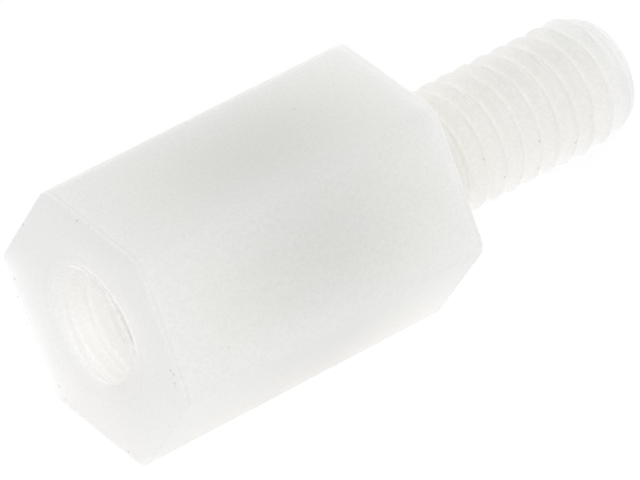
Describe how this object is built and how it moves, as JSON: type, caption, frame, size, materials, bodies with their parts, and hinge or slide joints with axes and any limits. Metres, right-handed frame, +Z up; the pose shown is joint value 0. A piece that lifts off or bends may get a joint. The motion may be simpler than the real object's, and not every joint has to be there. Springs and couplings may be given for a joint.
{
  "type": "hex standoff",
  "caption": "Moulded nylon hexagonal standoff with a threaded stud at one end and a blind tapped bore at the other, for holding a board off a panel.",
  "frame": {"origin": "on the resting flat, below the middle of the whole length from the bored end to the tip of the stud", "axes": "+X along the axis towards the tip of the stud, +Z up, square to the flat that it lies on"},
  "size_m": [0.014, 0.0062, 0.0055],
  "materials": {
    "natural_nylon": "natural, slightly translucent, satin as moulded"
  },
  "bodies": {
    "root": {"standoff": "natural_nylon"}
  },
  "joints": []
}
